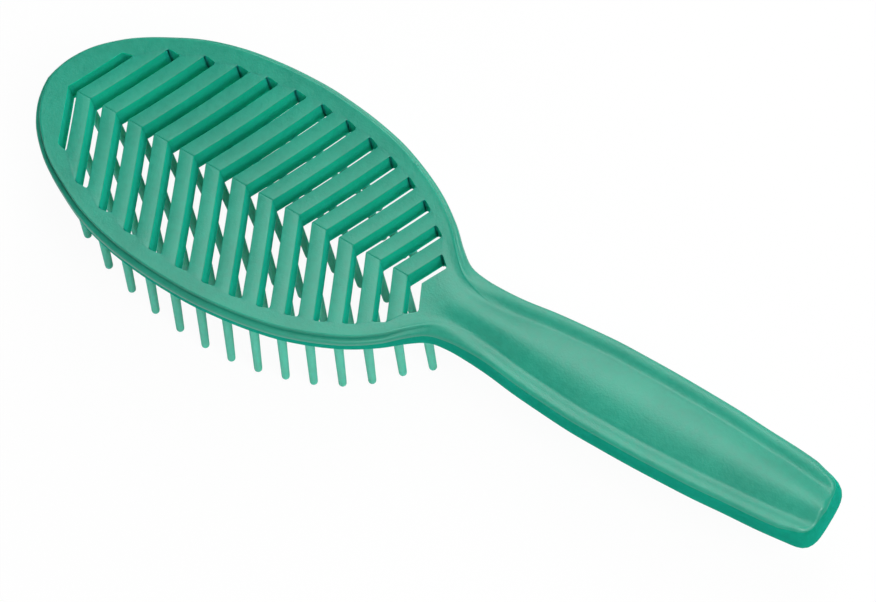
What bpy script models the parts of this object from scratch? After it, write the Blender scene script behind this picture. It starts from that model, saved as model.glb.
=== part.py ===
"""Vented hair brush: one moulded frame with its grip, and the swept vent ribs that carry the bristle pins."""
import math

import bmesh
import bpy
from mathutils import Matrix, Vector

# Overall sizes, in metres
LENGTH = 0.2256
HEAD_HALF_WIDTH = 0.0313
HEAD_DEPTH = 0.0075
DISH_RISE = 0.0033
PIN_LENGTH = 0.0234

# Level of the back over the pin tips, in the middle of the head
TOP_LEVEL = HEAD_DEPTH + PIN_LENGTH

# Edge bead of the head
BEAD_OUT = 0.0016

# Grip: depth under the crown, width of the border, the crown's level over the middle of the head,
# and how far the slope of the end wall reaches in
GRIP_DEPTH = 0.0116
BORDER = 0.0042
CROWN_LIFT = 0.0006
END_SLOPE = 0.0016

# Vent ribs: pitch, width, where the first one meets the middle plane, and how far a rib sweeps back over
# the half width of the head, all from the length
RIB_COUNT = 13
RIB_PITCH = LENGTH * 0.03537
RIB_WIDTH = RIB_PITCH * 0.531
RIB_START = LENGTH * 0.0372
SWEEP = LENGTH * 0.068 / HEAD_HALF_WIDTH

# Clearance between a rib and the frame
SEAT_GAP = 0.0003

# Where the first and last edge of the opening meet the middle plane
OPENING_START = LENGTH * 0.0248
OPENING_END = LENGTH * 0.4987

# Bristle pins
PIN_ROOT_RADIUS = 0.00125
PIN_TIP_RADIUS = 0.00105
PIN_EMBED = 0.0012
PIN_SPACING = 0.0097
PIN_MARGIN = 0.0004
PIN_SIDES = 8

# Stations of the loft, in counts
STATIONS = 76
EDGE_STEPS = 34

# Outline of the top face: share of the length, share of the head's half width
OUTLINE_SHARES = (
    (0.0000, 0.000),
    (0.0019, 0.087),
    (0.0075, 0.209),
    (0.0192, 0.352),
    (0.0351, 0.476),
    (0.0563, 0.601),
    (0.0818, 0.706),
    (0.1277, 0.854),
    (0.1765, 0.946),
    (0.2279, 0.990),
    (0.2798, 1.000),
    (0.3156, 0.983),
    (0.3582, 0.941),
    (0.4025, 0.864),
    (0.4535, 0.710),
    (0.4911, 0.537),
    (0.5133, 0.399),
    (0.5332, 0.305),
    (0.5550, 0.282),
    (0.5753, 0.284),
    (0.6050, 0.299),
    (0.6414, 0.332),
    (0.6773, 0.354),
    (0.7145, 0.372),
    (0.7513, 0.375),
    (0.7899, 0.374),
    (0.8298, 0.366),
    (0.8652, 0.356),
    (0.9007, 0.337),
    (0.9391, 0.320),
    (0.9722, 0.295),
    (0.9870, 0.279),
    (0.9946, 0.242),
    (0.9987, 0.176),
    (1.0000, 0.078),
    (1.0000, 0.000),
)

# Where each vent ends, from the tip on: share of the head's half width at its tip side and its grip side
SLOT_END_SHARES = (
    (0.466, 0.488),
    (0.676, 0.673),
    (0.772, 0.756),
    (0.830, 0.820),
    (0.861, 0.849),
    (0.877, 0.865),
    (0.881, 0.861),
    (0.865, 0.836),
    (0.830, 0.791),
    (0.775, 0.734),
    (0.702, 0.654),
    (0.603, 0.549),
    (0.469, 0.415),
    (0.290, 0.211),
)

# Where the sections fan round the two ends, and where the head turns into the grip
TIP_FAN_SHARE = 0.0630
END_FAN_SHARE = 0.9628
NECK_SHARES = (0.465, 0.611)

# The grip's side line run on to the end, past the corners: share of the length, share of the half width
SIDE_LINE_SHARES = ((0.9628, 0.302), (1.0, 0.274))

# Points from the middle of the top face out to its edge, and back under the body
INNER_SHARES = (0.0, 0.28, 0.54, 0.78, 0.93, 1.0)
UNDER_SHARES = (0.9, 0.62, 0.3, 0.0)
GRIP_UNDER_SHARES = (0.985, 1.0, 1.0, 1.0)

# Head edge, one row a point: share of the bead inward, share of the head's depth down
HEAD_EDGE_SHARES = (
    (0.20, 0.000),
    (0.00, 0.040),
    (0.00, 0.255),
    (-0.50, 0.274),
    (-0.88, 0.320),
    (-1.00, 0.440),
    (-1.00, 0.780),
    (-0.70, 0.930),
    (0.30, 1.000),
)

# Grip edge, one row a point: share of the border inward, share of the grip's depth down, share of the
# end slope that the point moves in at the end. The first five lie on the top face.
GRIP_EDGE_SHARES = (
    (1.240, 0.128, 0.6),
    (1.020, 0.158, 0.7),
    (0.800, 0.144, 0.8),
    (0.540, 0.107, 0.9),
    (0.240, 0.095, 1.0),
    (0.024, 0.143, 0.9),
    (-0.050, 0.340, 0.5),
    (-0.110, 0.780, 0.0),
    (0.030, 0.950, 0.0),
)
TOP_ROWS = 5

# Half of what the head's bead reaches past the tip more than the border does past the end
MIDDLE_SHIFT = (BEAD_OUT - 0.11 * BORDER) / 2


def clean_scene():
    """Empties the scene."""
    for old in list(bpy.data.objects):
        bpy.data.objects.remove(old, do_unlink=True)
    for old in list(bpy.data.collections):
        bpy.data.collections.remove(old)


def make_collection(name):
    """Adds a collection under the scene."""
    group = bpy.data.collections.new(name)
    bpy.context.scene.collection.children.link(group)
    return group


def make_material(name, colour, roughness):
    """One moulded plastic of one colour."""
    material = bpy.data.materials.new(name)
    material.use_nodes = True
    shader = material.node_tree.nodes["Principled BSDF"]
    shader.inputs["Base Color"].default_value = (*colour, 1.0)
    shader.inputs["Roughness"].default_value = roughness
    return material


def smooth_through(points, steps):
    """Points along a smooth line through the given ones, the same number of steps in each span."""
    line = []
    last = len(points) - 1
    for i in range(last):
        before = Vector(points[max(i - 1, 0)])
        start = Vector(points[i])
        end = Vector(points[i + 1])
        after = Vector(points[min(i + 2, last)])
        span = (end - start).length
        lead = (start - before).length
        trail = (after - end).length
        leave = (end - before) * (span / (span + lead))
        arrive = (after - start) * (span / (span + trail))
        for k in range(steps):
            t = k / steps
            a = 2 * t**3 - 3 * t**2 + 1
            b = t**3 - 2 * t**2 + t
            c = 3 * t**2 - 2 * t**3
            d = t**3 - t**2
            line.append(start * a + leave * b + end * c + arrive * d)
    line.append(Vector(points[last]))
    return line


def even_points(line, count):
    """Points the same distance apart along a line."""
    lengths = [0.0]
    for a, b in zip(line, line[1:]):
        lengths.append(lengths[-1] + (b - a).length)
    spaced = []
    k = 0
    for i in range(count + 1):
        goal = lengths[-1] * i / count
        while k < len(line) - 2 and lengths[k + 1] < goal:
            k += 1
        part = (goal - lengths[k]) / (lengths[k + 1] - lengths[k])
        spaced.append(line[k].lerp(line[k + 1], part))
    return spaced


def sized(shares):
    """A table of shares in real sizes, x along the brush from the tip."""
    return [(x * LENGTH, y * HEAD_HALF_WIDTH) for x, y in shares]


def dish(y):
    """Height of the hollow back of the head over its middle."""
    return DISH_RISE * (y / HEAD_HALF_WIDTH) ** 2


def dish_slope(y):
    """Slope of the hollow back across the head."""
    return 2 * DISH_RISE * y / HEAD_HALF_WIDTH**2


def grip_part(x):
    """0 in the head and 1 in the grip, with a smooth turn at the neck."""
    start = NECK_SHARES[0] * LENGTH
    end = NECK_SHARES[1] * LENGTH
    t = min(max((x - start) / (end - start), 0.0), 1.0)
    return t * t * (3 - 2 * t)


def blend(head, grip, part):
    """Mixes a head value with a grip value."""
    return head + (grip - head) * part


def crown_fall(side, inward):
    """How far the grip's top face lies under its crown, at a distance inward from the side line."""
    rows = [(share * BORDER, down * GRIP_DEPTH) for share, down, _ in GRIP_EDGE_SHARES[:TOP_ROWS]]
    first, fall = rows[0]
    if inward >= first:
        turn = (side - inward) / (side - first) * math.pi / 2
        return fall * (1 - math.cos(turn))
    for (outer, high), (inner, low) in zip(rows[1:], rows):
        if inward >= outer:
            return high + (low - high) * (inward - outer) / (inner - outer)
    return rows[-1][1]


def side_line(x):
    """Half width of the grip's side line near its end."""
    (x_a, y_a), (x_b, y_b) = SIDE_LINE_SHARES
    part = (x / LENGTH - x_a) / (x_b - x_a)
    return (y_a + (y_b - y_a) * part) * HEAD_HALF_WIDTH


def grip_top(spot, ahead, reach):
    """Height of the grip's top face at a spot. In the end fan the crown runs straight on to the end."""
    side = side_line(spot.x) if ahead > 0 else reach
    return CROWN_LIFT - crown_fall(side, side - abs(spot.y))


def section(spine_x, edge):
    """One section of the body, from the middle of the top face round its edge to the middle below."""
    foot = Vector((spine_x, 0.0))
    ray = edge - foot
    reach = ray.length
    part = grip_part(edge.x)
    head_edge = dish(edge.y)
    ahead = ray.x / reach if edge.x > spine_x and edge.x > LENGTH / 2 else 0.0
    slope = END_SLOPE * ahead * (0.5 + abs(ray.y) / reach)
    spots = []
    for k, ((head_in, head_down), row) in enumerate(zip(HEAD_EDGE_SHARES, GRIP_EDGE_SHARES)):
        grip_in, grip_down, end_share = row
        inward = blend(head_in * BEAD_OUT, grip_in * BORDER + end_share * slope, part)
        spot = foot.lerp(edge, (reach - inward) / reach)
        if k < TOP_ROWS:
            rim = grip_top(spot, ahead, reach)
            grip_z = rim
        elif k == TOP_ROWS:
            grip_z = rim - (grip_down - GRIP_EDGE_SHARES[k - 1][1]) * GRIP_DEPTH
        else:
            grip_z = CROWN_LIFT - grip_down * GRIP_DEPTH
        head_z = head_edge - head_down * HEAD_DEPTH
        spots.append((inward, (spot.x, spot.y, blend(head_z, grip_z, part))))
    points = []
    for share in INNER_SHARES[:-1]:
        spot = foot.lerp(edge, share * (reach - spots[0][0]) / reach)
        points.append((spot.x, spot.y, blend(dish(spot.y), grip_top(spot, ahead, reach), part)))
    points += [point for _, point in spots]
    for share, down in zip(UNDER_SHARES, GRIP_UNDER_SHARES):
        spot = foot.lerp(edge, share * (reach - spots[-1][0]) / reach)
        head_z = dish(spot.y) - HEAD_DEPTH
        grip_z = CROWN_LIFT - down * GRIP_DEPTH
        points.append((spot.x, spot.y, blend(head_z, grip_z, part)))
    return points


def along(x):
    """A distance from the tip in the frame of the part, whose middle is at 0."""
    return x - LENGTH / 2 + MIDDLE_SHIFT


def placed(x, y, z):
    """A point of the brush in the frame of the part: middle of the length at 0, pin tips at 0."""
    return (along(x), y, z + TOP_LEVEL)


def new_object(name, mesh, group):
    """Links a mesh as an object."""
    item = bpy.data.objects.new(name, mesh)
    group.objects.link(item)
    return item


def loft_body(name, group):
    """Half of the body lofted through its sections, then mirrored over the middle plane."""
    edge_line = even_points(smooth_through(sized(OUTLINE_SHARES), 12), STATIONS)
    form = bmesh.new()
    grid = []
    for edge in edge_line:
        spine_x = min(max(edge.x, TIP_FAN_SHARE * LENGTH), END_FAN_SHARE * LENGTH)
        ring = []
        for x, y, z in section(spine_x, edge):
            ring.append(form.verts.new(placed(x, y, z)))
        grid.append(ring)
    for a, b in zip(grid, grid[1:]):
        for k in range(len(a) - 1):
            form.faces.new((a[k], b[k], b[k + 1], a[k + 1]))
    bmesh.ops.remove_doubles(form, verts=form.verts, dist=SEAT_GAP / 30)
    bmesh.ops.dissolve_degenerate(form, edges=form.edges, dist=SEAT_GAP / 30)
    mesh = bpy.data.meshes.new(name)
    form.to_mesh(mesh)
    form.free()
    body = new_object(name, mesh, group)
    mirror = body.modifiers.new("Mirror", "MIRROR")
    mirror.use_axis = (False, True, False)
    mirror.use_clip = True
    mirror.merge_threshold = SEAT_GAP / 30
    apply_modifiers(body)
    face_outward(body)
    return body


def apply_modifiers(item):
    """Replaces an object's mesh by its result."""
    bpy.context.view_layer.update()
    graph = bpy.context.evaluated_depsgraph_get()
    mesh = bpy.data.meshes.new_from_object(item.evaluated_get(graph))
    item.modifiers.clear()
    item.data = mesh


def face_outward(item):
    """Turns every face outward."""
    form = bmesh.new()
    form.from_mesh(item.data)
    bmesh.ops.remove_doubles(form, verts=form.verts, dist=SEAT_GAP / 30)
    bmesh.ops.recalc_face_normals(form, faces=form.faces)
    if form.calc_volume(signed=True) < 0:
        bmesh.ops.reverse_faces(form, faces=form.faces)
    form.to_mesh(item.data)
    form.free()


def boolean(item, tool, operation):
    """Joins, cuts or keeps what an object shares with a tool."""
    step = item.modifiers.new("Boolean", "BOOLEAN")
    step.operation = operation
    step.solver = "EXACT"
    step.object = tool
    apply_modifiers(item)


def drop(item):
    """Removes a tool once it is used."""
    bpy.data.objects.remove(item, do_unlink=True)


def prism(name, outline, low, high, group):
    """A flat outline raised from one height to another."""
    curve = bpy.data.curves.new(name, "CURVE")
    curve.dimensions = "2D"
    curve.fill_mode = "BOTH"
    curve.extrude = (high - low) / 2
    spline = curve.splines.new("POLY")
    spline.points.add(len(outline) - 1)
    for point, (x, y) in zip(spline.points, outline):
        point.co = (along(x), y, 0.0, 1.0)
    spline.use_cyclic_u = True
    shape = bpy.data.objects.new(name + "_outline", curve)
    group.objects.link(shape)
    bpy.context.view_layer.update()
    graph = bpy.context.evaluated_depsgraph_get()
    mesh = bpy.data.meshes.new_from_object(shape.evaluated_get(graph))
    mesh.transform(Matrix.Translation((0.0, 0.0, TOP_LEVEL + (low + high) / 2)))
    drop(shape)
    item = new_object(name, mesh, group)
    face_outward(item)
    return item


def vent_sides(index):
    """Where the two sides of a vent meet the middle plane."""
    tip_side = OPENING_START if index == 0 else rib_lead(index - 1) + RIB_WIDTH
    grip_side = OPENING_END if index == RIB_COUNT else rib_lead(index)
    return tip_side, grip_side


def opening_outline():
    """The vented opening of the frame: the ends of the vents on each side, joined behind the rib ends."""
    upper = []
    for index, shares in enumerate(SLOT_END_SHARES):
        for lead, share in zip(vent_sides(index), shares):
            y = share * HEAD_HALF_WIDTH
            upper.append((lead + SWEEP * y, y))
    lower = [(x, -y) for x, y in reversed(upper)]
    return [(OPENING_START, 0.0)] + upper + [(OPENING_END, 0.0)] + lower


def shrunk(outline, gap):
    """An outline drawn in by a gap all round."""
    count = len(outline)
    result = []
    for i in range(count):
        here = Vector(outline[i])
        ahead = (Vector(outline[(i + 1) % count]) - here).normalized()
        behind = (here - Vector(outline[i - 1])).normalized()
        middle = (ahead + behind).normalized()
        turn = max(middle.dot(ahead), 0.3)
        inward = Vector((middle.y, -middle.x))
        result.append(tuple(here + inward * (gap / turn)))
    return result


def arched_core(name, outline, group):
    """The hollow-backed slab inside the opening, of one depth, before it is cut into ribs."""
    reach = HEAD_HALF_WIDTH
    steps = EDGE_STEPS
    across = [(2 * k / steps - 1) * reach for k in range(steps + 1)]
    curve = bpy.data.curves.new(name, "CURVE")
    curve.dimensions = "2D"
    curve.fill_mode = "BOTH"
    curve.extrude = LENGTH / 2
    ring = [(y, dish(y)) for y in across]
    ring += [(y, dish(y) - HEAD_DEPTH) for y in reversed(across)]
    spline = curve.splines.new("POLY")
    spline.points.add(len(ring) - 1)
    for point, (y, z) in zip(spline.points, ring):
        point.co = (y, z + TOP_LEVEL, 0.0, 1.0)
    spline.use_cyclic_u = True
    shape = bpy.data.objects.new(name + "_outline", curve)
    group.objects.link(shape)
    bpy.context.view_layer.update()
    graph = bpy.context.evaluated_depsgraph_get()
    mesh = bpy.data.meshes.new_from_object(shape.evaluated_get(graph))
    stand = Matrix(((0, 0, 1, 0), (1, 0, 0, 0), (0, 1, 0, 0), (0, 0, 0, 1)))
    mesh.transform(stand)
    drop(shape)
    core = new_object(name, mesh, group)
    face_outward(core)
    inside = prism(name + "_inside", outline, -HEAD_DEPTH * 2, HEAD_DEPTH * 2, group)
    boolean(core, inside, "INTERSECT")
    drop(inside)
    return core


def rib_lead(index):
    """Where the tip side of a rib meets the middle plane."""
    return RIB_START + RIB_PITCH * index


def chevron(index):
    """Outline of one swept rib, wider than the head."""
    lead = rib_lead(index)
    reach = HEAD_HALF_WIDTH
    far = SWEEP * reach
    return [
        (lead, 0.0),
        (lead + far, reach),
        (lead + far + RIB_WIDTH, reach),
        (lead + RIB_WIDTH, 0.0),
        (lead + far + RIB_WIDTH, -reach),
        (lead + far, -reach),
    ]


def edge_row(index):
    """Distance from the middle plane to the edge row's pin in line with a rib, clear of the rib's end."""
    start = SLOT_END_SHARES[index][1] * HEAD_HALF_WIDTH
    if index == RIB_COUNT:
        return start + PIN_ROOT_RADIUS + PIN_MARGIN
    end = SLOT_END_SHARES[index + 1][0] * HEAD_HALF_WIDTH
    slant = math.hypot(RIB_WIDTH + SWEEP * (end - start), end - start) / RIB_WIDTH
    return (start + end) / 2 + max(PIN_ROOT_RADIUS + PIN_MARGIN, PIN_ROOT_RADIUS * slant)


def add_pin(form, x, y):
    """Adds one tapered, round-ended pin, square to the arched underside. All the tips end on one level."""
    down = Vector((0.0, dish_slope(y), -1.0)).normalized()
    root = Vector(placed(x, y, dish(y) - HEAD_DEPTH))
    length = (PIN_LENGTH + dish(y)) / -down.z
    turn_in = math.pi / 5
    profile = [
        (PIN_ROOT_RADIUS, -PIN_EMBED),
        (PIN_ROOT_RADIUS, 0.0),
        (PIN_TIP_RADIUS, length - PIN_TIP_RADIUS),
        (PIN_TIP_RADIUS * math.cos(turn_in), length - PIN_TIP_RADIUS * (1 - math.sin(turn_in))),
    ]
    side = down.cross(Vector((1.0, 0.0, 0.0))).normalized()
    front = side.cross(down)
    rings = []
    for radius, along in profile:
        ring = []
        for k in range(PIN_SIDES):
            turn = 2 * math.pi * k / PIN_SIDES
            out = side * math.cos(turn) + front * math.sin(turn)
            ring.append(form.verts.new(root + down * along + out * radius))
        rings.append(ring)
    for a, b in zip(rings, rings[1:]):
        for k in range(PIN_SIDES):
            n = (k + 1) % PIN_SIDES
            form.faces.new((a[k], a[n], b[n], b[k]))
    form.faces.new(rings[0][::-1])
    point = form.verts.new(root + down * length)
    for k in range(PIN_SIDES):
        form.faces.new((rings[-1][k], rings[-1][(k + 1) % PIN_SIDES], point))


def pin_group(name, places, group):
    """All the pins of one piece as a tool for the union."""
    form = bmesh.new()
    for x, y in places:
        add_pin(form, x, y)
    bmesh.ops.recalc_face_normals(form, faces=form.faces)
    mesh = bpy.data.meshes.new(name)
    form.to_mesh(mesh)
    form.free()
    item = new_object(name, mesh, group)
    return item


def rib_pins(index):
    """Pins under one rib: one at the middle, then even steps out to the edge row."""
    middle = rib_lead(index) + RIB_WIDTH / 2
    outer = edge_row(index)
    steps = max(round(outer / PIN_SPACING), 1)
    places = [(middle, 0.0)]
    for k in range(1, steps):
        y = outer * k / steps
        places.append((middle + SWEEP * y, y))
        places.append((middle + SWEEP * y, -y))
    return places


def edge_pins():
    """The row of pins under the rim: one in line with each rib, and one behind the last."""
    places = []
    for index in range(RIB_COUNT + 1):
        y = edge_row(index)
        x = rib_lead(index) + RIB_WIDTH / 2 + SWEEP * y
        places.append((x, y))
        places.append((x, -y))
    return places


def finish(item, material):
    """Gives a piece its material and smooth shading."""
    face_outward(item)
    item.data.materials.clear()
    item.data.materials.append(material)
    item.data.shade_smooth()
    item.data.set_sharp_from_angle(angle=math.radians(32))


def build():
    """Builds the whole brush."""
    clean_scene()
    brush = make_collection("vent_brush")
    tools = make_collection("cutters")

    frame_plastic = make_material("moulded_frame_plastic", (0.05, 0.40, 0.27), 0.38)

    # Frame and grip
    frame = loft_body("frame_and_grip", brush)
    opening = prism("opening", opening_outline(), -GRIP_DEPTH * 2, GRIP_DEPTH * 2, tools)
    boolean(frame, opening, "DIFFERENCE")
    pins = pin_group("edge_pins", edge_pins(), tools)
    boolean(frame, pins, "UNION")
    drop(pins)
    finish(frame, frame_plastic)

    # Ribs with their pins
    core = arched_core("rib_core", shrunk(opening_outline(), SEAT_GAP), tools)
    for index in range(RIB_COUNT):
        name = f"vent_rib_{index + 1:02d}"
        material = make_material(f"moulded_rib_plastic_{index + 1:02d}", (0.05, 0.40, 0.27), 0.38)
        rib = new_object(name, core.data.copy(), brush)
        cutter = prism(name + "_cutter", chevron(index), -HEAD_DEPTH * 2, HEAD_DEPTH * 2, tools)
        boolean(rib, cutter, "INTERSECT")
        drop(cutter)
        pins = pin_group(name + "_pins", rib_pins(index), tools)
        boolean(rib, pins, "UNION")
        drop(pins)
        finish(rib, material)
    drop(core)

    for tool in tools.objects:
        tool.hide_render = True
        tool.display_type = "WIRE"


build()
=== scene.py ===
"""Vented hair brush: the looks of the one-piece moulding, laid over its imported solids."""

import math

import bmesh
import bpy
from bpy.props import FloatProperty, FloatVectorProperty, IntProperty, PointerProperty
from bpy.types import Operator, Panel, PropertyGroup
from mathutils import Euler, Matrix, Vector


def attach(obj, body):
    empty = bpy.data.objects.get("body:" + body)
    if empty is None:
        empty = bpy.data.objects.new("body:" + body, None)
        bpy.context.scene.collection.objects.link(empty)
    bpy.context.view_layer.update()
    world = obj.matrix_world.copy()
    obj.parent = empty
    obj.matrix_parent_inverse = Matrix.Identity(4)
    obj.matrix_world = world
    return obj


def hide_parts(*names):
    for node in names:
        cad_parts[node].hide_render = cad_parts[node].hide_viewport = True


bl_info = {
    "name": "Vented hair brush",
    "version": (1, 0, 0),
    "blender": (4, 5, 0),
    "location": "3D View > Sidebar > Vent brush",
    "description": "Builds a one-piece vented hair brush with swept ribs and tapered pins",
    "category": "Object",
}

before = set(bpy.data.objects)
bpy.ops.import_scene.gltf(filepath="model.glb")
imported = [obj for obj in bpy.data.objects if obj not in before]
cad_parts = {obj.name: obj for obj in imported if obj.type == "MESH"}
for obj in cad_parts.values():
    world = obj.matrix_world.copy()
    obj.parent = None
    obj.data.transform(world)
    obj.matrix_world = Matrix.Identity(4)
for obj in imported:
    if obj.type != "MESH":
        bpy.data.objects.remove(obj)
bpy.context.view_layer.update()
BODY = "root"

# Sizes of the moulding, in metres
LENGTH = 0.2256
HEAD_HALF_WIDTH = 0.0313
HEAD_DEPTH = 0.0075
DISH_RISE = 0.0033
PIN_LENGTH = 0.0234
TOP_LEVEL = HEAD_DEPTH + PIN_LENGTH
BEAD_OUT = 0.0016
GRIP_DEPTH = 0.0116
BORDER = 0.0042
CROWN_LIFT = 0.0006
END_SLOPE = 0.0016
RIB_COUNT = 13
RIB_PITCH = LENGTH * 0.03537
RIB_WIDTH = RIB_PITCH * 0.531
RIB_START = LENGTH * 0.0372
SWEEP = LENGTH * 0.068 / HEAD_HALF_WIDTH
OPENING_START = LENGTH * 0.0248
OPENING_END = LENGTH * 0.4987
PIN_ROOT_RADIUS = 0.00125
PIN_TIP_RADIUS = 0.00105
PIN_SPACING = 0.0097
PIN_MARGIN = 0.0004
WELD_GAP = 0.00001
MIDDLE_SHIFT = (BEAD_OUT - 0.11 * BORDER) / 2

# Outline of the top face: share of the length, share of the head's half width
OUTLINE_SHARES = (
    (0.0000, 0.000), (0.0019, 0.087), (0.0075, 0.209), (0.0192, 0.352), (0.0351, 0.476),
    (0.0563, 0.601), (0.0818, 0.706), (0.1277, 0.854), (0.1765, 0.946), (0.2279, 0.990),
    (0.2798, 1.000), (0.3156, 0.983), (0.3582, 0.941), (0.4025, 0.864), (0.4535, 0.710),
    (0.4911, 0.537), (0.5133, 0.399), (0.5332, 0.305), (0.5550, 0.282), (0.5753, 0.284),
    (0.6050, 0.299), (0.6414, 0.332), (0.6773, 0.354), (0.7145, 0.372), (0.7513, 0.375),
    (0.7899, 0.374), (0.8298, 0.366), (0.8652, 0.356), (0.9007, 0.337), (0.9391, 0.320),
    (0.9722, 0.295), (0.9870, 0.279), (0.9946, 0.242), (0.9987, 0.176), (1.0000, 0.078),
    (1.0000, 0.000),
)

# Where each vent ends: share of the head's half width at its tip side and its grip side
VENT_END_SHARES = (
    (0.466, 0.488), (0.676, 0.673), (0.772, 0.756), (0.830, 0.820), (0.861, 0.849),
    (0.877, 0.865), (0.881, 0.861), (0.865, 0.836), (0.830, 0.791), (0.775, 0.734),
    (0.702, 0.654), (0.603, 0.549), (0.469, 0.415), (0.290, 0.211),
)

# Places along the length: the turning points of the fans of sections at both ends, the neck, and the
# stretch in which the head's step runs out
TIP_FAN_SHARE = 0.0630
END_FAN_SHARE = 0.9628
NECK_SHARES = (0.465, 0.611)
STEP_END_SHARES = (0.487, 0.548)

# Side line of the grip's end: share of the length, share of the head's half width
SIDE_LINE_SHARES = ((0.9628, 0.302), (1.0, 0.274))

# Head edge: share of the bead inward, share of the head's depth down
HEAD_EDGE_SHARES = (
    (0.20, 0.000), (0.00, 0.040), (0.00, 0.255), (-0.50, 0.274), (-0.88, 0.320),
    (-1.00, 0.440), (-1.00, 0.780), (-0.70, 0.930), (0.30, 1.000),
)

# Edge of the neck, where the head's step has run out, in the same shares
NECK_EDGE_SHARES = (
    (0.20, 0.000), (-0.08, 0.025), (-0.34, 0.085), (-0.60, 0.170), (-0.86, 0.285),
    (-1.00, 0.440), (-1.00, 0.780), (-0.70, 0.930), (0.30, 1.000),
)

# Grip edge: share of the border inward, share of the grip's depth down, share of the end slope
GRIP_EDGE_SHARES = (
    (1.240, 0.128, 0.6), (1.020, 0.158, 0.7), (0.800, 0.144, 0.8), (0.540, 0.107, 0.9),
    (0.240, 0.095, 1.0), (0.024, 0.143, 0.9), (-0.050, 0.340, 0.5), (-0.110, 0.780, 0.0),
    (0.030, 0.950, 0.0),
)
# Underside: share of the way out from the middle, and share of the grip's depth down
UNDER_SHARES = ((0.9, 0.985), (0.62, 1.0), (0.3, 1.0), (0.0, 1.0))

# Root of a pin: share of its radius, and distance under the head in metres
PIN_ROOT_ROWS = ((1.5, -0.0004), (1.3, 0.0001), (1.08, 0.0005), (1.0, 0.0011))

# Mitre line: distance from the apex and depth, both as shares of its half width
MITRE_SHARES = ((-2.2, 0.0), (-1.1, 0.0), (-0.9, 0.1), (0.0, 0.8), (0.9, 0.1), (1.1, 0.0), (2.2, 0.0))

# Numbers of points and rows in the meshes
OUTLINE_STEPS = 12
OUTLINE_POINTS = 190
TOP_ROWS = 5
ROW_STEPS = 4
INNER_STEPS = 16
INNER_CROWDING = 1.35
RIM_FADE_ROWS = 2.5
ARM_STEPS = 14
ROUND_STEPS = 4
TIP_STEPS = 5
SMOOTH_ANGLE = math.radians(40)

# Places of the finishes in a piece's list of materials
GRAINED = 0
POLISHED = 1
VENT = 2
PIN = 3

# Finish: the usual range of a noise, the flow's lightest and deepest tone, and the relief's height
NOISE_RANGE = (("From Min", 0.3), ("From Max", 0.7))
FLOW_TONES = (("A", 0.90), ("B", 1.08))
FLECK_SHARE = 0.25
SPECK_SHARE = 0.42
ROUGHNESS_SPREAD = 0.05
RELIEF_HEIGHT = 0.0003
EVEN_GRAIN = (1.0, 1.0, 1.0)
DRAW_LINES = (1.0, 1.0, 0.08)
DRAW_DEPTH_SHARE = 0.5

# Lamps: place, point aimed at, width and length, in metres
KEY_PLACE = ((-0.08, 0.35, 0.61), (0.05, 0.0, 0.02), 0.34, 1.1)
FILL_PLACE = ((0.52, -0.12, 0.85), (0.0, 0.0, 0.02), 0.5, 0.5)
SIDE_PLACE = ((-0.2, -0.85, 0.38), (0.0, 0.0, 0.02), 1.1, 0.6)
EDGE_PLACE = ((-0.1, 0.95, 0.22), (0.0, 0.0, 0.02), 1.4, 0.25)
FLOOR_HALF_WIDTH = 4.0
FLOOR_DROP = 0.0002

# Camera, fitted to the photo
CAMERA_PLACE = (0.17992, -0.16564, 0.64718)
CAMERA_TURN = (0.35731, 0.09668, 0.56197)
CAMERA_LENS_MM = 111.781
SENSOR_WIDTH_MM = 36.0


def linear(hex_colour):
    """An sRGB hex colour as linear red, green and blue."""
    parts = [int(hex_colour[i:i + 2], 16) / 255 for i in (1, 3, 5)]
    return tuple(p / 12.92 if p <= 0.04045 else ((p + 0.055) / 1.055) ** 2.4 for p in parts)


# Shapes

def smooth_through(points, steps):
    """Points along a smooth line through the given ones."""
    line = []
    last = len(points) - 1
    for i in range(last):
        before = Vector(points[max(i - 1, 0)])
        start = Vector(points[i])
        end = Vector(points[i + 1])
        after = Vector(points[min(i + 2, last)])
        span = (end - start).length
        leave = (end - before) * (span / (span + (start - before).length))
        arrive = (after - start) * (span / (span + (after - end).length))
        for k in range(steps):
            t = k / steps
            a = 2 * t**3 - 3 * t**2 + 1
            b = t**3 - 2 * t**2 + t
            c = 3 * t**2 - 2 * t**3
            d = t**3 - t**2
            line.append(start * a + leave * b + end * c + arrive * d)
    line.append(Vector(points[last]))
    return line


def even_points(line, count):
    """Points the same distance apart along a line."""
    lengths = [0.0]
    for a, b in zip(line, line[1:]):
        lengths.append(lengths[-1] + (b - a).length)
    spaced = []
    k = 0
    for i in range(count + 1):
        goal = lengths[-1] * i / count
        while k < len(line) - 2 and lengths[k + 1] < goal:
            k += 1
        part = (goal - lengths[k]) / (lengths[k + 1] - lengths[k])
        spaced.append(line[k].lerp(line[k + 1], part))
    return spaced


def sized(shares):
    """A table of shares in metres."""
    return [(x * LENGTH, y * HEAD_HALF_WIDTH) for x, y in shares]


def dish(y):
    """Height of the hollow back over its middle."""
    return DISH_RISE * (y / HEAD_HALF_WIDTH) ** 2


def dish_slope(y):
    """Slope of the hollow back across the head."""
    return 2 * DISH_RISE * y / HEAD_HALF_WIDTH**2


def placed(x, y, z):
    """A point of the brush in the frame: x from the tip, z from the middle of the back."""
    return Vector((x - LENGTH / 2 + MIDDLE_SHIFT, y, z + TOP_LEVEL))


def passed(x, shares):
    """Runs smoothly from 0 to 1 between two shares of the length."""
    start, end = (share * LENGTH for share in shares)
    t = min(max((x - start) / (end - start), 0.0), 1.0)
    return t * t * (3 - 2 * t)


def blend(head, grip, part):
    """Mixes a head value with a grip value."""
    return head + (grip - head) * part


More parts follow.
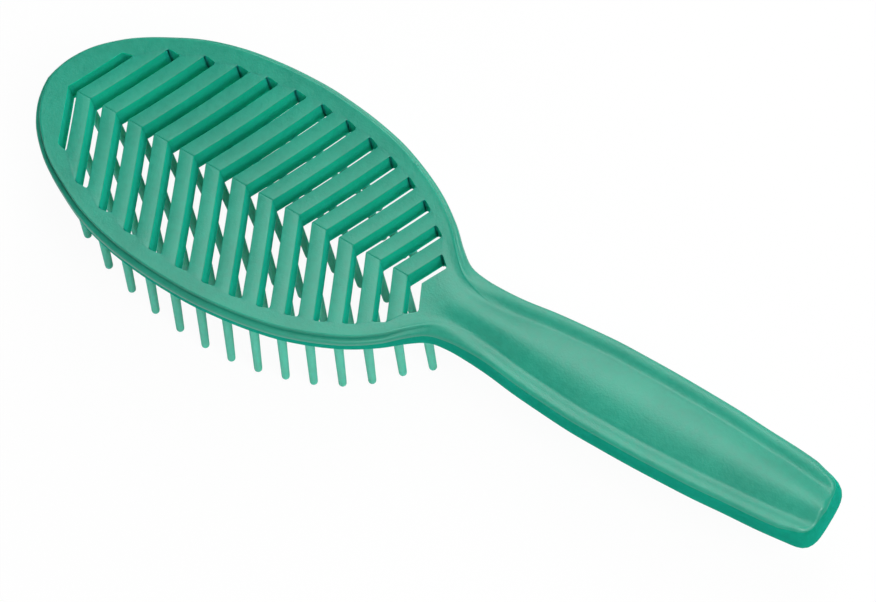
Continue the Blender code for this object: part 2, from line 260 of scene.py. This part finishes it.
def fine_rows(rows):
    """A smooth edge profile through the rows of a table."""
    plain = [tuple(row) + (0.0,) * (3 - len(row)) for row in rows]
    return [tuple(p) for p in smooth_through(plain, ROW_STEPS)]


HEAD_ROWS = fine_rows(HEAD_EDGE_SHARES)
NECK_ROWS = fine_rows(NECK_EDGE_SHARES)
GRIP_ROWS = fine_rows(GRIP_EDGE_SHARES)
LAST_TOP = (TOP_ROWS - 1) * ROW_STEPS


def crown_fall(side, inward):
    """How far the grip's top face lies under its crown, at a distance inward from the side line."""
    first, fall = GRIP_ROWS[0][0] * BORDER, GRIP_ROWS[0][1] * GRIP_DEPTH
    if inward >= first:
        turn = (side - inward) / (side - first) * math.pi / 2
        return fall * (1 - math.cos(turn))
    share = inward / BORDER
    for (outer, high, _), (inner, low, _) in zip(GRIP_ROWS[1:LAST_TOP + 1], GRIP_ROWS):
        if share >= outer:
            return GRIP_DEPTH * (high + (low - high) * (share - outer) / (inner - outer))
    return GRIP_ROWS[LAST_TOP][1] * GRIP_DEPTH


def side_line(x):
    """Half width of the grip's side line near its end."""
    (x_a, y_a), (x_b, y_b) = SIDE_LINE_SHARES
    part = (x / LENGTH - x_a) / (x_b - x_a)
    return (y_a + (y_b - y_a) * part) * HEAD_HALF_WIDTH


def grip_top(spot, ahead, reach):
    """Height of the grip's top face. In the end fan the crown runs straight on to the end."""
    side = side_line(spot.x) if ahead > 0 else reach
    return CROWN_LIFT - crown_fall(side, side - abs(spot.y))


def section(spine_x, edge):
    """One section of the body, from the middle of the top round its edge to the middle below."""
    foot = Vector((spine_x, 0.0))
    ray = edge - foot
    reach = ray.length
    part = passed(edge.x, NECK_SHARES)
    faded = passed(edge.x, STEP_END_SHARES)
    head_edge = dish(edge.y)
    ahead = ray.x / reach if edge.x > spine_x and edge.x > LENGTH / 2 else 0.0
    slope = END_SLOPE * ahead * (0.5 + abs(ray.y) / reach)
    spots = []
    for k, (head, neck, (grip_in, grip_down, end_share)) in enumerate(zip(HEAD_ROWS, NECK_ROWS, GRIP_ROWS)):
        head_in, head_down = (blend(a, b, faded) for a, b in zip(head[:2], neck))
        inward = blend(head_in * BEAD_OUT, grip_in * BORDER + end_share * slope, part)
        spot = foot.lerp(edge, (reach - inward) / reach)
        low = CROWN_LIFT - grip_down * GRIP_DEPTH
        if k <= LAST_TOP:
            grip_z = grip_top(spot, ahead, reach)
            rim = grip_z - low
        else:
            fade = min((k - LAST_TOP) / (RIM_FADE_ROWS * ROW_STEPS), 1.0)
            grip_z = low + rim * (1 - fade)
        head_z = head_edge - head_down * HEAD_DEPTH
        spots.append((inward, (spot.x, spot.y, blend(head_z, grip_z, part))))
    points = []
    for k in range(INNER_STEPS):
        share = 1 - (1 - k / INNER_STEPS) ** INNER_CROWDING
        spot = foot.lerp(edge, share * (reach - spots[0][0]) / reach)
        points.append((spot.x, spot.y, blend(dish(spot.y), grip_top(spot, ahead, reach), part)))
    points += [point for _, point in spots]
    for share, down in UNDER_SHARES:
        spot = foot.lerp(edge, share * (reach - spots[-1][0]) / reach)
        head_z = dish(spot.y) - HEAD_DEPTH
        grip_z = CROWN_LIFT - down * GRIP_DEPTH
        points.append((spot.x, spot.y, blend(head_z, grip_z, part)))
    return points


def smooth(mesh):
    """Makes a mesh smooth but for its sharp edges."""
    mesh.shade_smooth()
    mesh.set_sharp_from_angle(angle=SMOOTH_ANGLE)


def new_piece(name, form):
    """Turns a mesh in the making into an object that is smooth but for its sharp edges."""
    bmesh.ops.recalc_face_normals(form, faces=form.faces)
    mesh = bpy.data.meshes.new(name)
    form.to_mesh(mesh)
    form.free()
    smooth(mesh)
    piece = bpy.data.objects.new(name, mesh)
    bpy.context.scene.collection.objects.link(piece)
    return piece


def rib_lead(index):
    """Where the tip side of a rib meets the middle plane."""
    return RIB_START + RIB_PITCH * index


def vent_corners(index):
    """The two corners of a vent's end: on its tip side and on its grip side."""
    tip_side = OPENING_START if index == 0 else rib_lead(index - 1) + RIB_WIDTH
    grip_side = OPENING_END if index == RIB_COUNT else rib_lead(index)
    corners = []
    for lead, share in zip((tip_side, grip_side), VENT_END_SHARES[index]):
        y = share * HEAD_HALF_WIDTH
        corners.append(Vector((lead + SWEEP * y, y)))
    return corners


def opening_outline(rounding):
    """The vented opening of the frame, the corners of each vent rounded."""
    down = Vector((-SWEEP, -1.0)).normalized()
    upper = []
    for index in range(RIB_COUNT + 1):
        first, second = vent_corners(index)
        across = (second - first).normalized()
        if index > 0:
            upper.append(first)
        for k in range(ROUND_STEPS + 1):
            t = k / ROUND_STEPS
            upper.append(first + down * rounding * (1 - t) ** 2 + across * rounding * t**2)
        for k in range(ROUND_STEPS + 1):
            t = k / ROUND_STEPS
            upper.append(second - across * rounding * (1 - t) ** 2 + down * rounding * t**2)
        if index < RIB_COUNT:
            upper.append(second)
    side = [(p.x, p.y) for p in upper]
    lower = [(x, -y) for x, y in reversed(side)]
    return [(OPENING_START, 0.0)] + side + [(OPENING_END, 0.0)] + lower


def prism(outline, low, high):
    """An upright block over a flat outline, as a mesh in the making."""
    form = bmesh.new()
    lower = [form.verts.new(placed(x, y, low)) for x, y in outline]
    upper = [form.verts.new(placed(x, y, high)) for x, y in outline]
    form.faces.new(lower[::-1])
    form.faces.new(upper)
    count = len(outline)
    for i in range(count):
        n = (i + 1) % count
        form.faces.new((lower[i], lower[n], upper[n], upper[i]))
    for face in form.faces:
        face.material_index = VENT
    return form


def cut(piece, form):
    """Cuts a shape out of a piece."""
    tool = new_piece(piece.name + "_cutter", form)
    modifier = piece.modifiers.new("Cut", "BOOLEAN")
    modifier.operation = "DIFFERENCE"
    modifier.solver = "EXACT"
    modifier.object = tool
    graph = bpy.context.evaluated_depsgraph_get()
    mesh = bpy.data.meshes.new_from_object(piece.evaluated_get(graph))
    piece.modifiers.clear()
    piece.data = mesh
    bpy.data.objects.remove(tool)


def body_mesh():
    """The frame with its neck and grip, before the opening is cut."""
    edge_line = even_points(smooth_through(sized(OUTLINE_SHARES), OUTLINE_STEPS), OUTLINE_POINTS)
    form = bmesh.new()
    grid = []
    for edge in edge_line:
        spine_x = min(max(edge.x, TIP_FAN_SHARE * LENGTH), END_FAN_SHARE * LENGTH)
        near = []
        far = []
        for x, y, z in section(spine_x, edge):
            near.append(form.verts.new(placed(x, -y, z)))
            far.append(form.verts.new(placed(x, y, z)))
        grid.append((near, far))
    parting = INNER_STEPS + TOP_ROWS * ROW_STEPS
    for (near_a, far_a), (near_b, far_b) in zip(grid, grid[1:]):
        for k in range(len(near_a) - 1):
            near = form.faces.new((near_a[k], near_b[k], near_b[k + 1], near_a[k + 1]))
            far = form.faces.new((far_a[k], far_a[k + 1], far_b[k + 1], far_b[k]))
            near.material_index = far.material_index = GRAINED if k < parting else POLISHED
    bmesh.ops.remove_doubles(form, verts=form.verts, dist=WELD_GAP)
    bmesh.ops.dissolve_degenerate(form, edges=form.edges, dist=WELD_GAP)
    return form


def end_at(index, share):
    """Half width at which a rib ends, at a share of its width."""
    start = VENT_END_SHARES[index][1] * HEAD_HALF_WIDTH
    end = VENT_END_SHARES[index + 1][0] * HEAD_HALF_WIDTH
    return start + (end - start) * share


def edge_row(index):
    """Distance from the middle plane to the edge row's pin in line with a rib."""
    start = VENT_END_SHARES[index][1] * HEAD_HALF_WIDTH
    if index == RIB_COUNT:
        return start + PIN_ROOT_RADIUS + PIN_MARGIN
    end = VENT_END_SHARES[index + 1][0] * HEAD_HALF_WIDTH
    slant = math.hypot(RIB_WIDTH + SWEEP * (end - start), end - start) / RIB_WIDTH
    return (start + end) / 2 + max(PIN_ROOT_RADIUS + PIN_MARGIN, PIN_ROOT_RADIUS * slant)


def add_pin(form, x, y, sides):
    """One tapered pin with a rounded end and a small fillet at its root, square to the underside."""
    known = len(form.faces)
    down = Vector((0.0, dish_slope(y), -1.0)).normalized()
    root = placed(x, y, dish(y) - HEAD_DEPTH)
    length = (PIN_LENGTH + dish(y)) / -down.z
    profile = [(PIN_ROOT_RADIUS * share, way) for share, way in PIN_ROOT_ROWS]
    for k in range(TIP_STEPS):
        turn = math.pi / 2 * k / TIP_STEPS
        profile.append((PIN_TIP_RADIUS * math.cos(turn), length - PIN_TIP_RADIUS * (1 - math.sin(turn))))
    side = down.cross(Vector((1.0, 0.0, 0.0))).normalized()
    front = side.cross(down)
    rings = []
    for radius, way in profile:
        ring = []
        for k in range(sides):
            turn = 2 * math.pi * k / sides
            out = side * math.cos(turn) + front * math.sin(turn)
            ring.append(form.verts.new(root + down * way + out * radius))
        rings.append(ring)
    for a, b in zip(rings, rings[1:]):
        for k in range(sides):
            n = (k + 1) % sides
            form.faces.new((a[k], a[n], b[n], b[k]))
    form.faces.new(rings[0][::-1])
    point = form.verts.new(root + down * length)
    for k in range(sides):
        form.faces.new((rings[-1][k], rings[-1][(k + 1) % sides], point))
    form.faces.ensure_lookup_table()
    for face in form.faces[known:]:
        face.material_index = PIN


def rib_pin_places(index):
    """Pins under one rib."""
    middle = rib_lead(index) + RIB_WIDTH / 2
    outer = edge_row(index)
    steps = max(round(outer / PIN_SPACING), 1)
    places = [(middle, 0.0)]
    for k in range(1, steps):
        y = outer * k / steps
        places.append((middle + SWEEP * y, y))
        places.append((middle + SWEEP * y, -y))
    return places


def edge_pin_places():
    """The row of pins under the rim."""
    places = []
    for index in range(RIB_COUNT + 1):
        y = edge_row(index)
        x = rib_lead(index) + RIB_WIDTH / 2 + SWEEP * y
        places.append((x, y))
        places.append((x, -y))
    return places


def rib_rows(rounding):
    """The top of a rib in section: distance across it from its tip side, and depth under its top."""
    rows = []
    for k in range(ROUND_STEPS + 1):
        turn = math.pi / 2 * k / ROUND_STEPS
        rows.append((rounding * (1 - math.cos(turn)), rounding * (1 - math.sin(turn))))
    return rows + [(RIB_WIDTH - across, fall) for across, fall in reversed(rows)]


def rib_mesh(index, rounding, crease):
    """One swept rib, its long edges rounded, with the fine mitre line across its apex."""
    rows = rib_rows(rounding)
    stations = []
    for step in range(-ARM_STEPS, ARM_STEPS + 1):
        if step == 0:
            for side, sunk in MITRE_SHARES:
                stations.append([(u, side * crease, fall + sunk * crease) for u, fall in rows])
        else:
            stations.append([(u, end_at(index, u / RIB_WIDTH) * step / ARM_STEPS, fall) for u, fall in rows])
    form = bmesh.new()
    rings = []
    for station in stations:
        ring = []
        for u, y, fall in station:
            ring.append(form.verts.new(placed(rib_lead(index) + u + SWEEP * abs(y), y, dish(y) - fall)))
        for u, y, _ in (station[-1], station[0]):
            ring.append(form.verts.new(placed(rib_lead(index) + u + SWEEP * abs(y), y, dish(y) - HEAD_DEPTH)))
        rings.append(ring)
    for a, b in zip(rings, rings[1:]):
        for k in range(len(a)):
            n = (k + 1) % len(a)
            face = form.faces.new((a[k], a[n], b[n], b[k]))
            face.material_index = GRAINED if k < len(rows) - 1 else VENT
    form.faces.new(rings[0][::-1]).material_index = VENT
    form.faces.new(rings[-1]).material_index = VENT
    return form


# Finish

def add(tree, kind, links=(), values=(), **settings):
    """Adds a shader node with its settings, links and socket values."""
    node = tree.nodes.new(kind)
    for name, value in settings.items():
        setattr(node, name, value)
    for socket, source in links:
        tree.links.new(source, node.inputs[socket])
    for socket, value in values:
        node.inputs[socket].default_value = value
    return node


def pigment(tree, where, finish, speck, glow, painted_white):
    """Colour of the plastic: slow cloudy bands where the pigment flowed, with fine flecks in them, lifted and
    paled where light and shade are painted in.
    """
    cloud = add(tree, "ShaderNodeTexNoise", [("Vector", where)],
                [("Scale", 1 / finish.flow_width), ("Detail", 3.0), ("Roughness", 0.55)])
    flow = add(tree, "ShaderNodeMapRange", [("Value", cloud.outputs["Fac"])],
               [*NOISE_RANGE, ("To Min", 0.0), ("To Max", 1.0)])
    fleck = add(tree, "ShaderNodeMapRange", [("Value", speck.outputs["Fac"])],
                [*NOISE_RANGE, ("To Min", -FLECK_SHARE), ("To Max", FLECK_SHARE)])
    both = add(tree, "ShaderNodeMath", [(0, flow.outputs["Result"]), (1, fleck.outputs["Result"])],
               operation="ADD", use_clamp=True)
    colour = add(tree, "ShaderNodeMix", [("Factor", both.outputs["Value"])], data_type="RGBA")
    for socket, depth in FLOW_TONES:
        # Painted light and shade: glow scales the colour and the white share pales it, for how the vent
        # walls, outer walls and pins are lit
        tone = [c * depth * glow for c in finish.plastic_colour]
        colour.inputs[socket].default_value = tuple(c + (1 - c) * painted_white for c in tone) + (1.0,)
    return colour.outputs["Result"]


def moulded_polypropylene(name, finish, relief, bands, depth, roughness, sheen, milk, glow=1.0,
                          painted_white=0.0):
    """Injection-moulded polypropylene, IOR 1.49, with the fine relief of its tool, and painted light and
    shade in its colour from glow and the white share.
    """
    made = bpy.data.materials.get(name)
    if made:
        return made
    material = bpy.data.materials.new(name)
    material.use_nodes = True
    tree = material.node_tree
    tree.nodes.clear()
    output = add(tree, "ShaderNodeOutputMaterial")
    place = add(tree, "ShaderNodeTexCoord")
    where = place.outputs["Object"]
    drawn = add(tree, "ShaderNodeMapping", [("Vector", where)], [("Scale", bands)])
    grain = add(tree, "ShaderNodeTexNoise", [("Vector", drawn.outputs["Vector"])],
                [("Scale", 1 / relief), ("Detail", 2.0), ("Roughness", 0.6)])
    speck = add(tree, "ShaderNodeTexNoise", [("Vector", where)],
                [("Scale", SPECK_SHARE / finish.grain_width), ("Detail", 2.0), ("Roughness", 0.5)])
    rough = add(tree, "ShaderNodeMapRange", [("Value", speck.outputs["Fac"])],
                [*NOISE_RANGE, ("To Min", roughness - ROUGHNESS_SPREAD),
                 ("To Max", roughness + ROUGHNESS_SPREAD)])
    bump = add(tree, "ShaderNodeBump", [("Height", grain.outputs["Fac"])],
               [("Strength", depth), ("Distance", RELIEF_HEIGHT)])
    shader = add(tree, "ShaderNodeBsdfPrincipled",
                 [("Roughness", rough.outputs["Result"]), ("Normal", bump.outputs["Normal"])])
    tree.links.new(pigment(tree, where, finish, speck, glow, painted_white), shader.inputs["Base Color"])
    shader.inputs["IOR"].default_value = 1.49
    shader.inputs["Specular IOR Level"].default_value = sheen
    # A little light runs through the milky plastic and keeps the inner walls of the vents green; the vent
    # walls' colour is also drawn lighter as painted light
    shader.inputs["Subsurface Weight"].default_value = milk
    shader.inputs["Subsurface Radius"].default_value = (0.4, 1.0, 0.8)
    shader.inputs["Subsurface Scale"].default_value = finish.light_reach
    tree.links.new(shader.outputs["BSDF"], output.inputs["Surface"])
    return material


def grained_polypropylene(finish):
    """The back, from the spark-eroded half of the tool."""
    # The eroded grain spreads the reflection into a soft, pale veil over the colour. It is drawn several
    # times coarser than the real 0.1 mm so that it shows.
    return moulded_polypropylene("spark_grained_moulded_polypropylene", finish, finish.grain_width,
                                 EVEN_GRAIN, finish.grain_depth, finish.roughness, finish.sheen_level,
                                 finish.milkiness)


def polished_polypropylene(finish):
    """The outer walls, from the polished half of the tool."""
    # Polished walls show the colour deep and clear, with faint draw lines along the way the part left the
    # tool, about 0.5 mm apart
    # Painted shade: the outer walls' colour is scaled by a factor that stands in for how they are lit; at 1.0
    # it paints none
    return moulded_polypropylene("draw_polished_moulded_polypropylene", finish, finish.draw_width,
                                 DRAW_LINES, finish.grain_depth * DRAW_DEPTH_SHARE, finish.wall_roughness,
                                 finish.wall_sheen, 1.0, finish.wall_painted_shade)


def vent_polypropylene(finish):
    """The walls of the vents, from the polished half of the tool."""
    # Painted light: the colour of these walls is drawn lighter by the vent glow factor, standing in for light
    # that runs through the narrow ribs and out of these walls
    return moulded_polypropylene("vent_wall_painted_light_polypropylene", finish, finish.draw_width,
                                 DRAW_LINES, finish.grain_depth * DRAW_DEPTH_SHARE, finish.wall_roughness,
                                 finish.wall_sheen, 1.0, finish.vent_painted_light)


def pin_polypropylene(finish):
    """The pins, from drilled holes in the polished half of the tool."""
    # Painted light: the pins' colour is drawn lighter and mixed with white, standing in for light that runs
    # through the thin pins
    return moulded_polypropylene("pin_painted_light_polypropylene", finish, finish.draw_width,
                                 DRAW_LINES, finish.grain_depth * DRAW_DEPTH_SHARE, finish.wall_roughness,
                                 finish.pin_sheen, 1.0, finish.pin_painted_light, finish.pin_painted_white)


def stage_white(name, colour, brightness):
    """Matt studio paper that shows near white to the camera and keeps a soft shadow."""
    material = bpy.data.materials.new(name)
    material.use_nodes = True
    tree = material.node_tree
    tree.nodes.clear()
    output = add(tree, "ShaderNodeOutputMaterial")
    paper = add(tree, "ShaderNodeBsdfDiffuse", values=[("Color", tuple(colour) + (1.0,))])
    glow = add(tree, "ShaderNodeEmission", values=[("Color", (1.0, 1.0, 1.0, 1.0)), ("Strength", 1.0)])
    ray = add(tree, "ShaderNodeLightPath")
    seen = add(tree, "ShaderNodeMath", [(0, ray.outputs["Is Camera Ray"]), (1, ray.outputs["Is Glossy Ray"])],
               operation="MAXIMUM")
    also = add(tree, "ShaderNodeMath", [(0, seen.outputs["Value"]), (1, ray.outputs["Is Transmission Ray"])],
               operation="MAXIMUM")
    share = add(tree, "ShaderNodeMath", [(0, also.outputs["Value"])], [(1, brightness)], operation="MULTIPLY")
    mix = add(tree, "ShaderNodeMixShader", [("Fac", share.outputs["Value"])])
    tree.links.new(paper.outputs["BSDF"], mix.inputs[1])
    tree.links.new(glow.outputs["Emission"], mix.inputs[2])
    tree.links.new(mix.outputs["Shader"], output.inputs["Surface"])
    return material


def soft_lamp(name, place, aim, width, length, power):
    """A soft oval lamp that the camera doesn't see."""
    data = bpy.data.lights.new(name, "AREA")
    data.shape = "ELLIPSE"
    data.size = width
    data.size_y = length
    data.energy = power
    item = bpy.data.objects.new(name, data)
    item.location = place
    item.rotation_euler = (Vector(aim) - Vector(place)).to_track_quat("-Z", "Y").to_euler()
    item.visible_camera = False
    bpy.context.scene.collection.objects.link(item)


def dress(piece, finish, slot, *nodes):
    """Gives a piece its finishes, its body and the solids that it stands for."""
    for look in (grained_polypropylene, polished_polypropylene, vent_polypropylene, pin_polypropylene):
        piece.data.materials.append(look(finish))
    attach(piece, BODY)
    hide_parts(*nodes)


class BrushFinish(PropertyGroup):
    """Colour and surface of the plastic."""

    plastic_colour: FloatVectorProperty(
        name="Plastic colour", description="Colour of the moulded plastic", subtype="COLOR",
        size=3, min=0.0, max=1.0, default=linear("#159A80"))
    grain_width: FloatProperty(
        name="Grain width", description="Width of one grain of the tool's texture as drawn",
        unit="LENGTH", default=0.0006, min=0.0001, max=0.003)
    grain_depth: FloatProperty(
        name="Grain depth", description="How strongly the grain shows", default=0.22, min=0.0, max=1.0)
    flow_width: FloatProperty(
        name="Flow width", description="Width of the cloudy bands in the pigment",
        unit="LENGTH", default=0.018, min=0.002, max=0.1)
    sheen_level: FloatProperty(
        name="Sheen", description="Strength of the surface reflection, 0.5 for a bare smooth plastic",
        default=0.75, min=0.0, max=1.0)
    milkiness: FloatProperty(
        name="Milkiness", description="Share of light that spreads inside the plastic of the back",
        default=0.35, min=0.0, max=1.0)
    light_reach: FloatProperty(
        name="Light reach", description="How far light spreads inside the plastic", unit="LENGTH",
        default=0.003, min=0.0002, max=0.01)
    roughness: FloatProperty(
        name="Roughness", description="Roughness of the grained back", default=0.43, min=0.05, max=1.0)
    draw_width: FloatProperty(
        name="Draw lines", description="Distance between the draw lines on the polished walls",
        unit="LENGTH", default=0.0005, min=0.0001, max=0.003)
    wall_sheen: FloatProperty(
        name="Wall sheen", description="Strength of the reflection on the polished walls", default=0.0,
        min=0.0, max=1.0)
    # Painted shade: factor on the colour of the outer walls, standing in for how they are lit; 1.0 paints
    # none
    wall_painted_shade: FloatProperty(
        name="Wall depth", description="How much deeper the colour of the outer walls is", default=1.0,
        min=0.5, max=2.0)
    # Painted light: factor that lifts the colour of the vent walls, standing in for light run through the
    # ribs
    vent_painted_light: FloatProperty(
        name="Vent glow", description="How much lighter the vents are for the light inside the plastic",
        default=1.6, min=0.5, max=2.0)
    # Painted light: lifts the colour of the pins, standing in for light run through them
    pin_painted_light: FloatProperty(
        name="Pin glow", description="How much lighter the thin pins are for the light inside the plastic",
        default=1.6, min=0.5, max=3.0)
    pin_sheen: FloatProperty(
        name="Pin sheen", description="Strength of the reflection on the pins", default=0.0, min=0.0, max=1.0)
    # Painted light: share of white mixed into the pins' colour, standing in for light run through them
    pin_painted_white: FloatProperty(
        name="Pin paleness", description="Share of white in the colour of the thin pins", default=0.12,
        min=0.0, max=1.0)
    wall_roughness: FloatProperty(
        name="Wall roughness", description="Roughness of the polished walls", default=0.36, min=0.05, max=1.0)


class BrushDetail(PropertyGroup):
    """Fine shape of the moulding."""

    rib_rounding: FloatProperty(
        name="Rib rounding", description="Radius on the long edges of the ribs",
        unit="LENGTH", default=0.00022, min=0.00005, max=0.001)
    crease: FloatProperty(
        name="Mitre line", description="Half width of the fine line across each rib's apex",
        unit="LENGTH", default=0.0002, min=0.0001, max=0.001)
    corner: FloatProperty(
        name="Vent corner", description="Rounding in the corners of the vents",
        unit="LENGTH", default=0.0007, min=0.0001, max=0.0012)
    pin_sides: IntProperty(
        name="Pin sides", description="Number of sides of a pin", default=16, min=6, max=48)


class StudioStage(PropertyGroup):
    """Floor and light."""

    floor_colour: FloatVectorProperty(
        name="Floor colour", description="Colour of the studio paper", subtype="COLOR",
        size=3, min=0.0, max=1.0, default=linear("#F4F4F4"))
    floor_white: FloatProperty(
        name="Floor white", description="Share of pure white in what the camera sees of the floor",
        default=0.95, min=0.0, max=1.0, subtype="FACTOR")
    key_power: FloatProperty(
        name="Key light", description="Power of the large soft lamp", unit="POWER", default=3.4,
        min=0.0, max=100.0)
    fill_power: FloatProperty(
        name="Fill light", description="Power of the fill lamp", unit="POWER", default=6.0,
        min=0.0, max=100.0)
    side_power: FloatProperty(
        name="Side light", description="Power of the low lamp on the near side", unit="POWER", default=1.5,
        min=0.0, max=100.0)
    edge_power: FloatProperty(
        name="Edge light", description="Power of the low lamp behind, which draws the pale far edges",
        unit="POWER", default=1.3, min=0.0, max=100.0)
    surround: FloatProperty(
        name="Surround", description="Brightness of the white room", default=0.06, min=0.0, max=2.0)


class VENTBRUSH_OT_frame(Operator):
    """Makes the oval frame with its bead, neck and crowned grip"""

    bl_idname = "ventbrush.frame"
    bl_label = "Frame and grip"

    def execute(self, context):
        finish = context.scene.ventbrush_finish
        piece = new_piece("frame_and_grip_moulding", body_mesh())
        outline = opening_outline(context.scene.ventbrush_detail.corner)
        cut(piece, prism(outline, -GRIP_DEPTH * 2, GRIP_DEPTH * 2))
        smooth(piece.data)
        dress(piece, finish, "frame_plastic", "frame_and_grip")
        return {"FINISHED"}


class VENTBRUSH_OT_rim_pins(Operator):
    """Makes the row of pins under the rim"""

    bl_idname = "ventbrush.rim_pins"
    bl_label = "Rim pins"

    def execute(self, context):
        finish = context.scene.ventbrush_finish
        detail = context.scene.ventbrush_detail
        form = bmesh.new()
        for x, y in edge_pin_places():
            add_pin(form, x, y, detail.pin_sides)
        piece = new_piece("rim_pins", form)
        dress(piece, finish, "frame_plastic", "frame_and_grip")
        return {"FINISHED"}


class VENTBRUSH_OT_ribs(Operator):
    """Makes the swept vent ribs, each with its own pins"""

    bl_idname = "ventbrush.ribs"
    bl_label = "Vent ribs"

    def execute(self, context):
        finish = context.scene.ventbrush_finish
        detail = context.scene.ventbrush_detail
        for index in range(RIB_COUNT):
            form = rib_mesh(index, detail.rib_rounding, detail.crease)
            for x, y in rib_pin_places(index):
                add_pin(form, x, y, detail.pin_sides)
            node = f"vent_rib_{index + 1:02d}"
            piece = new_piece(node + "_moulding", form)
            dress(piece, finish, "rib_plastic", node)
        return {"FINISHED"}


class VENTBRUSH_OT_stage(Operator):
    """Sets the pale floor, the soft studio light and the camera"""

    bl_idname = "ventbrush.stage"
    bl_label = "Studio stage"

    def execute(self, context):
        scene = context.scene
        stage = scene.ventbrush_stage
        form = bmesh.new()
        bmesh.ops.create_grid(form, x_segments=2, y_segments=2, size=FLOOR_HALF_WIDTH)
        floor = new_piece("studio_floor", form)
        floor.location = (0.0, 0.0, -FLOOR_DROP)
        floor.data.materials.append(stage_white("matt_studio_paper", stage.floor_colour, stage.floor_white))
        soft_lamp("key_softbox", *KEY_PLACE, stage.key_power)
        soft_lamp("fill_softbox", *FILL_PLACE, stage.fill_power)
        soft_lamp("side_softbox", *SIDE_PLACE, stage.side_power)
        soft_lamp("edge_softbox", *EDGE_PLACE, stage.edge_power)

        world = bpy.data.worlds.new("white_room")
        world.use_nodes = True
        tree = world.node_tree
        tree.nodes.clear()
        output = add(tree, "ShaderNodeOutputWorld")
        room = add(tree, "ShaderNodeBackground",
                   values=[("Color", (1.0, 1.0, 1.0, 1.0)), ("Strength", stage.surround)])
        tree.links.new(room.outputs["Background"], output.inputs["Surface"])
        scene.world = world

        data = bpy.data.cameras.new("photo_camera")
        data.sensor_fit = "HORIZONTAL"
        data.sensor_width = SENSOR_WIDTH_MM
        data.lens = CAMERA_LENS_MM
        data.clip_start = 0.01
        data.clip_end = 20.0
        camera = bpy.data.objects.new("photo_camera", data)
        camera.location = CAMERA_PLACE
        camera.rotation_euler = Euler(CAMERA_TURN, "XYZ")
        scene.collection.objects.link(camera)
        scene.camera = camera
        scene.view_settings.view_transform = "Standard"
        return {"FINISHED"}


class VENTBRUSH_PT_panel(Panel):
    """Lists the pieces of the brush and its sizes and colours"""

    bl_idname = "VENTBRUSH_PT_panel"
    bl_label = "Vented hair brush"
    bl_space_type = "VIEW_3D"
    bl_region_type = "UI"
    bl_category = "Vent brush"

    def draw(self, context):
        layout = self.layout
        for operator in OPERATORS:
            layout.operator(operator.bl_idname)
        for group in (context.scene.ventbrush_finish, context.scene.ventbrush_detail,
                      context.scene.ventbrush_stage):
            box = layout.box()
            for name in group.__annotations__:
                box.prop(group, name)


OPERATORS = (VENTBRUSH_OT_frame, VENTBRUSH_OT_rim_pins, VENTBRUSH_OT_ribs, VENTBRUSH_OT_stage)
CLASSES = (BrushFinish, BrushDetail, StudioStage) + OPERATORS + (VENTBRUSH_PT_panel,)


def register():
    """Registers the classes and hangs the settings on the scene."""
    for item in CLASSES:
        bpy.utils.register_class(item)
    bpy.types.Scene.ventbrush_finish = PointerProperty(type=BrushFinish)
    bpy.types.Scene.ventbrush_detail = PointerProperty(type=BrushDetail)
    bpy.types.Scene.ventbrush_stage = PointerProperty(type=StudioStage)


def unregister():
    """Takes the settings off the scene and the classes away."""
    del bpy.types.Scene.ventbrush_stage
    del bpy.types.Scene.ventbrush_detail
    del bpy.types.Scene.ventbrush_finish
    for item in reversed(CLASSES):
        bpy.utils.unregister_class(item)


def main():
    """Builds the brush and its stage."""
    register()
    bpy.ops.ventbrush.frame()
    bpy.ops.ventbrush.rim_pins()
    bpy.ops.ventbrush.ribs()
    bpy.ops.ventbrush.stage()
    bpy.context.view_layer.update()


if __name__ == "__main__":
    main()
